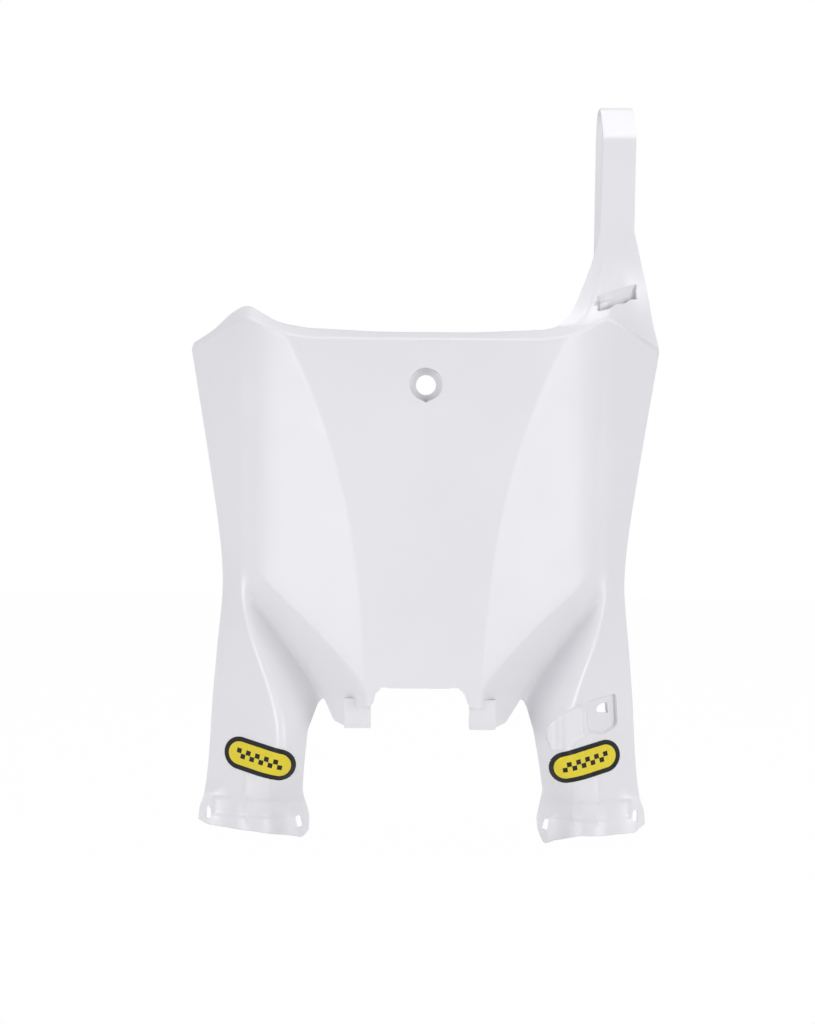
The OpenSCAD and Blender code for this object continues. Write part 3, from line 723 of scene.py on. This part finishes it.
along, across = parts.outputs["X"], parts.outputs["Y"]
past_middle = sum_up("SUBTRACT", sum_up("ABSOLUTE", along), (STICKER_W - STICKER_H) / 2)
end_gap = sum_up("MAXIMUM", past_middle, 0.0)
squares = sum_up("ADD", sum_up("MULTIPLY", end_gap, end_gap), sum_up("MULTIPLY", across, across))
border = sum_up("GREATER_THAN", sum_up("SQRT", squares), STICKER_H / 2 - BORDER_W)
col = sum_up("FLOOR", sum_up("DIVIDE", along, SQUARE))
row = sum_up("FLOOR", sum_up("DIVIDE", across, SQUARE))
chequer = sum_up("LESS_THAN", sum_up("PINGPONG", sum_up("ADD", col, row), 1.0), 0.5)
band = sum_up("MULTIPLY", sum_up("LESS_THAN", sum_up("ABSOLUTE", across), SQUARE),
              sum_up("LESS_THAN", sum_up("ABSOLUTE", along), SQUARE * BAND_SQUARES))
dark = sum_up("MAXIMUM", border, sum_up("MULTIPLY", chequer, band))
links.new(tinted(nodes, links, dark, YELLOW, BLACK), surface.inputs["Base Color"])
place_of = nodes.new("ShaderNodeTexCoord").outputs["Object"]
rubbed = spread(nodes, links, noise(nodes, links, place_of, 120, 3), 0.22, 0.36)
links.new(rubbed, surface.inputs["Roughness"])
bumped(nodes, links, surface, noise(nodes, links, place_of, 300, 2), 0.05, 0.0002)
for side, name in ((-1, "left_sticker"), (1, "right_sticker")):
    deselect_all()
    bpy.ops.mesh.primitive_grid_add(x_subdivisions=2 * PATCH_W, y_subdivisions=2 * PATCH_H, size=1)
    patch = bpy.context.object
    patch.name = name
    bm = bmesh.new()
    bm.from_mesh(patch.data)
    for p in bm.verts:
        p.co = (p.co.x * PATCH_W, p.co.y * PATCH_H, 0)
    cut_open(bm, lambda x, z: -sticker_shape(x, z), (-99, 99), flat_place)
    uv_layer = bm.loops.layers.uv.verify()
    for f in bm.faces:
        for loop in f.loops:
            loop[uv_layer].uv = loop.vert.co.xy
    c, t = math.cos(math.radians(STICKER_TILT)), math.sin(math.radians(STICKER_TILT))
    us, vs = np.array([p.co.x for p in bm.verts]), np.array([p.co.y for p in bm.verts])
    x, z = side * (STICKER_X + us * c - vs * t), STICKER_Z + us * t + vs * c
    y = board_face(x, z) - STICKER_T
    for p, a, b, d in zip(bm.verts, x, y, z):
        p.co = (a / 1000, b / 1000, d / 1000)
    bm.normal_update()
    if sum(f.normal.y for f in bm.faces) > 0:
        bmesh.ops.reverse_faces(bm, faces=bm.faces)
    bm.to_mesh(patch.data)
    bm.free()
    add_modifier(patch, "SOLIDIFY", thickness=STICKER_T / 1000, offset=-1)
    bpy.ops.object.shade_smooth_by_angle(angle=math.radians(40))
    patch.data.materials.append(vinyl)
    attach(patch, "root")
    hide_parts(name.replace("sticker", "decal"))


# The floor is plain white paper that the board stands on. It is seen nearly white, and keeps
# a little of the board's shadow
FLOOR_SIZE, FLOOR_GAP, WHITE_SHARE = 8, 0.0004, 0.985
deselect_all()
bpy.ops.mesh.primitive_plane_add(size=1)
floor = bpy.context.object
floor.name = "paper_floor"
for p in floor.data.vertices:
    p.co = (p.co.x * FLOOR_SIZE, p.co.y * FLOOR_SIZE, cad_box[0][2] - FLOOR_GAP)
paper, nodes, links, surface = shader("paper", 0.9)
surface.inputs["Base Color"].default_value = (0.9, 0.9, 0.9, 1)
glow = nodes.new("ShaderNodeEmission")
glow.inputs["Strength"].default_value = 1.0
path = nodes.new("ShaderNodeLightPath")
seen = nodes.new("ShaderNodeMath")
seen.operation = "MAXIMUM"
links.new(path.outputs["Is Camera Ray"], seen.inputs[0])
links.new(path.outputs["Is Glossy Ray"], seen.inputs[1])
share = nodes.new("ShaderNodeMath")
share.operation = "MULTIPLY"
share.inputs[1].default_value = WHITE_SHARE
links.new(seen.outputs[0], share.inputs[0])
blend = nodes.new("ShaderNodeMixShader")
links.new(share.outputs[0], blend.inputs["Fac"])
links.new(surface.outputs[0], blend.inputs[1])
links.new(glow.outputs[0], blend.inputs[2])
links.new(blend.outputs[0], nodes["Material Output"].inputs["Surface"])
floor.data.materials.append(paper)


# Soft studio light: a pale room, a soft lamp on each side and one overhead. Two more lamps
# only add to the sheen that the side facets show
world = bpy.data.worlds.new("pale_room")
bpy.context.scene.world = world
world.use_nodes = True
nodes, links = world.node_tree.nodes, world.node_tree.links
room = nodes["Background"]
room.inputs["Color"].default_value = (0.97, 0.97, 1.0, 1)
room.inputs["Strength"].default_value = 0.515
white_room = nodes.new("ShaderNodeBackground")
white_room.inputs["Color"].default_value = (1, 1, 1, 1)
white_room.inputs["Strength"].default_value = 1.0
path = nodes.new("ShaderNodeLightPath")
blend = nodes.new("ShaderNodeMixShader")
links.new(path.outputs["Is Camera Ray"], blend.inputs["Fac"])
links.new(room.outputs[0], blend.inputs[1])
links.new(white_room.outputs[0], blend.inputs[2])
links.new(blend.outputs[0], nodes["World Output"].inputs["Surface"])


def soft_lamp(name, place, target, size, watts, sheen_only=False):
    lamp = bpy.data.lights.new(name, "AREA")
    lamp.shape = "DISK"
    lamp.size = size
    lamp.energy = watts
    obj = bpy.data.objects.new(name, lamp)
    bpy.context.collection.objects.link(obj)
    obj.location = place
    obj.rotation_euler = (Vector(target) - Vector(place)).to_track_quat("-Z", "Y").to_euler()
    obj.visible_diffuse = not sheen_only


board_middle = (0, 0.03, -0.06)
soft_lamp("lamp_right", (1.44, -1.13, 0.05), board_middle, 1.0, 9.5)
soft_lamp("lamp_left", (-1.44, -1.13, 0.0), board_middle, 1.0, 9.7)
soft_lamp("lamp_above", (0.1, 0.0, 1.5), board_middle, 1.0, 9.2)
soft_lamp("sheen_right", (1.4, -1.17, -0.1), board_middle, 0.7, 8.8, sheen_only=True)
soft_lamp("sheen_left", (-1.4, -1.17, -0.1), board_middle, 0.7, 9.8, sheen_only=True)


# The camera stands 1.3 m in front, level with the middle of the board, turned half a degree
camera_data = bpy.data.cameras.new("camera")
camera = bpy.data.objects.new("camera", camera_data)
bpy.context.collection.objects.link(camera)
ROLL, DISTANCE, VIEW_H, SENSOR_H = math.radians(0.5), 1.3, 0.6144, 24
HOLE_RIGHT, HOLE_UP = 0.00978, 0.07686
camera_x = -(HOLE_RIGHT * math.cos(ROLL) + HOLE_UP * math.sin(ROLL))
camera_z = -(HOLE_UP * math.cos(ROLL) - HOLE_RIGHT * math.sin(ROLL))
camera.location = (camera_x, -DISTANCE, camera_z)
camera.rotation_euler = (math.radians(90), -ROLL, 0)
camera_data.sensor_fit = "VERTICAL"
camera_data.sensor_height = SENSOR_H
camera_data.lens = SENSOR_H * DISTANCE / VIEW_H
bpy.context.scene.camera = camera
bpy.context.scene.view_settings.view_transform = "Standard"
